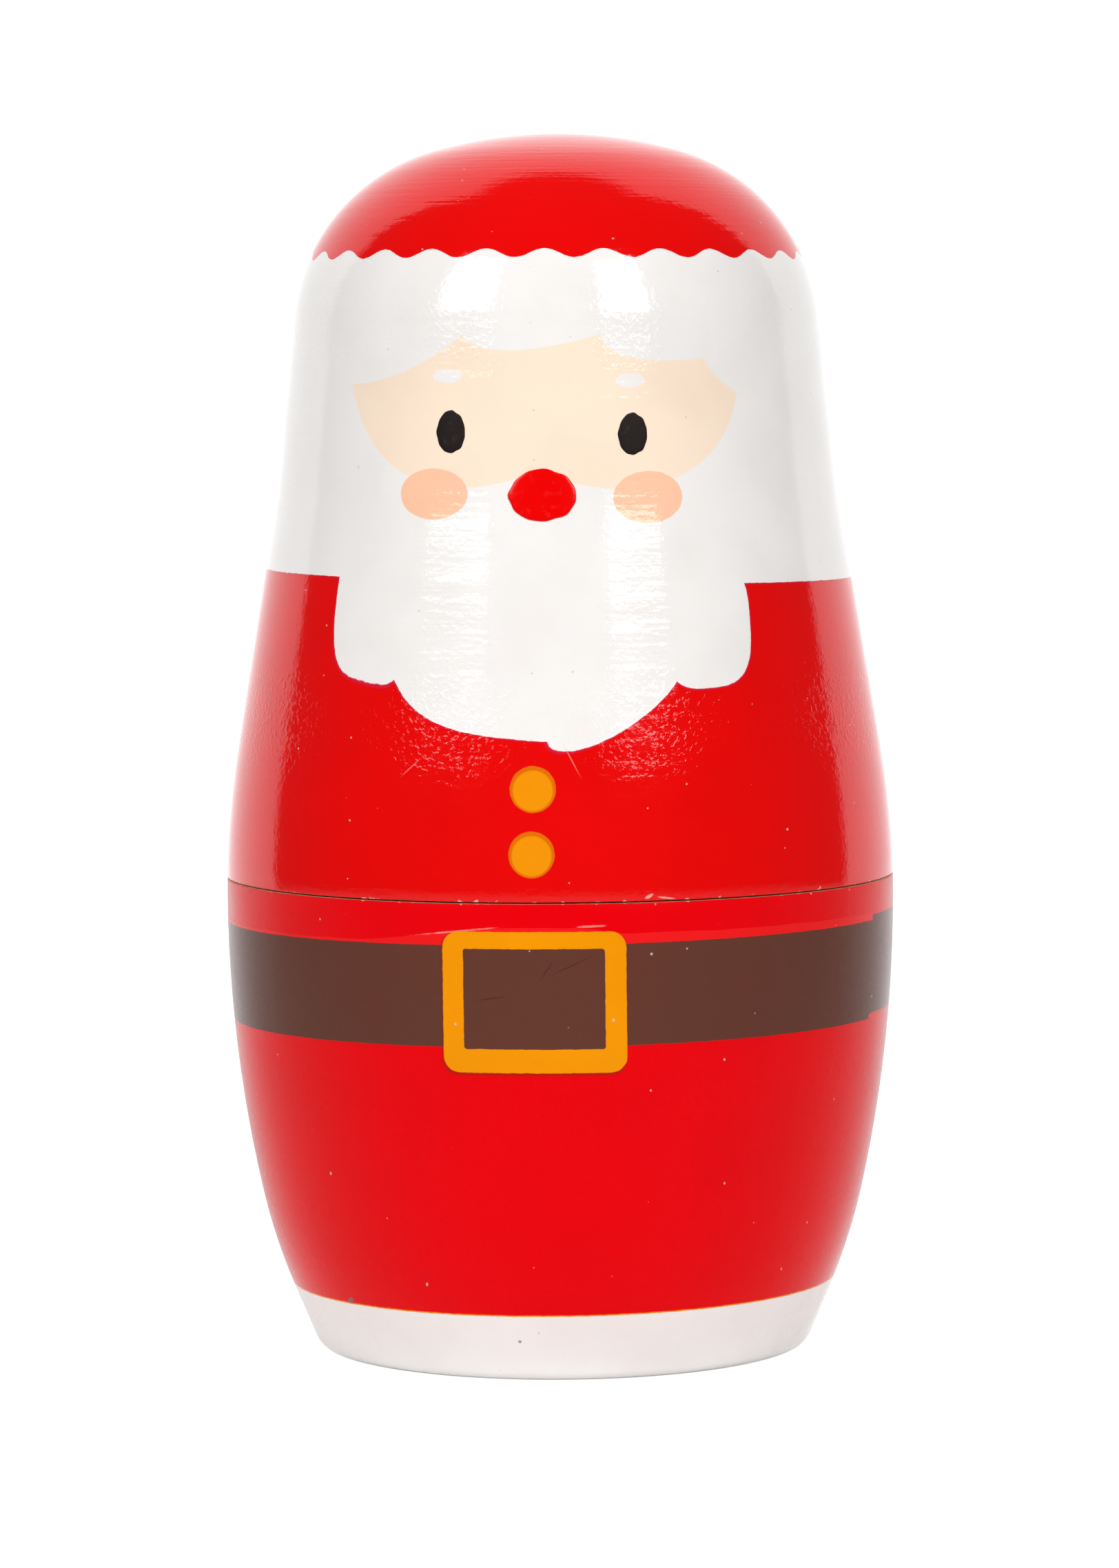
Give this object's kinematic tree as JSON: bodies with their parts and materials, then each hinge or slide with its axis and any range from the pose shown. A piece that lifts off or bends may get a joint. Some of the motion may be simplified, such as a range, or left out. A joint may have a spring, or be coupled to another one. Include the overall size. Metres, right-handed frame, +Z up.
{
  "type": "matryoshka nesting doll",
  "caption": "Turned wooden nesting doll painted as a bearded winter figure; its halves plug together over a spigot and each holds the next smaller doll.",
  "frame": {"origin": "centre of the flat base of the largest doll, on the surface that it stands on", "axes": "+Z up along the turning axis, painted face towards -Y, +X to the viewer's right"},
  "size_m": [0.0634, 0.0634, 0.115],
  "materials": {
    "red_satin_paint": "painted, satin",
    "red_gloss_paint": "painted, gloss lacquer",
    "green_paint": "painted, gloss lacquer",
    "blue_paint": "painted, gloss lacquer",
    "yellow_paint": "painted, gloss lacquer",
    "small_doll_paint": "painted, gloss lacquer"
  },
  "bodies": {
    "first_lower": {"doll_1_lower_half": "red_satin_paint"},
    "second_lower": {"doll_2_lower_half": "green_paint"},
    "third_lower": {"doll_3_lower_half": "blue_paint"},
    "fourth_lower": {"doll_4_lower_half": "yellow_paint"},
    "smallest": {"doll_5_solid": "small_doll_paint"},
    "fourth_upper": {"doll_4_upper_half": "yellow_paint"},
    "third_upper": {"doll_3_upper_half": "blue_paint"},
    "second_upper": {"doll_2_upper_half": "green_paint"},
    "first_upper": {"doll_1_upper_half": "red_gloss_paint"}
  },
  "joints": [
    {"name": "second_doll_lift", "type": "slide", "parent": "first_lower", "child": "second_lower", "axis": [0, 0, 1], "range_m": [0, 0.058]},
    {"name": "third_doll_lift", "type": "slide", "parent": "second_lower", "child": "third_lower", "axis": [0, 0, 1], "range_m": [0, 0.048]},
    {"name": "fourth_doll_lift", "type": "slide", "parent": "third_lower", "child": "fourth_lower", "axis": [0, 0, 1], "range_m": [0, 0.04]},
    {"name": "upper_halves_turn", "type": "hinge", "parent": "fourth_lower", "child": "smallest", "pos_m": [0, 0, 0.03], "axis": [0, 0, 1], "continuous": true},
    {"name": "fourth_top_lift", "type": "slide", "parent": "smallest", "child": "fourth_upper", "axis": [0, 0, 1], "range_m": [0, 0.03]},
    {"name": "third_top_lift", "type": "slide", "parent": "fourth_upper", "child": "third_upper", "axis": [0, 0, 1], "range_m": [0, 0.042]},
    {"name": "second_top_lift", "type": "slide", "parent": "third_upper", "child": "second_upper", "axis": [0, 0, 1], "range_m": [0, 0.054]},
    {"name": "first_top_lift", "type": "slide", "parent": "second_upper", "child": "first_upper", "axis": [0, 0, 1], "range_m": [0, 0.066]}
  ]
}
